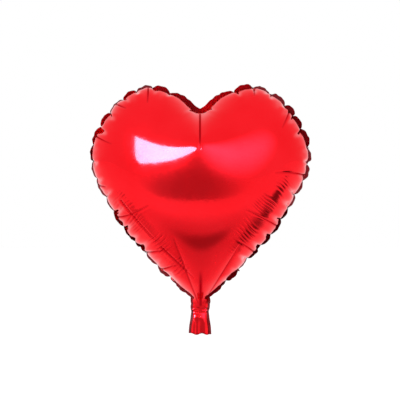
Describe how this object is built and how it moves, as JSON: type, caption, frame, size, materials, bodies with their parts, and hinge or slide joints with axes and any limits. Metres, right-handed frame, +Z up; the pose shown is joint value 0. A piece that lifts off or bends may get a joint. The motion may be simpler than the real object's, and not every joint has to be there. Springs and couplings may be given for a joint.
{
  "type": "foil balloon",
  "caption": "Inflated heart-shaped foil balloon: two welded metallic film panels with a puckered seal edge and a flat filling neck that holds a self-sealing film valve.",
  "frame": {"origin": "middle of the neck's open mouth, in the seam plane, the lowest point of the balloon", "axes": "+Z up, from the neck's mouth to the lobes; X left to right across the heart; the front faces -Y, and the seam lies in the plane Y = 0"},
  "size_m": [0.362, 0.1902, 0.397],
  "materials": {
    "front_foil": "mirror-bright red metallised film",
    "back_foil": "mirror-bright red metallised film",
    "valve_film": "clear thin film",
    "valve_coating": "matt printed coating"
  },
  "bodies": {
    "root": {"front_film": "front_foil", "back_film": "back_foil", "valve_front_film": "valve_film", "valve_back_film": "valve_film", "valve_release_coating": "valve_coating"}
  },
  "joints": []
}
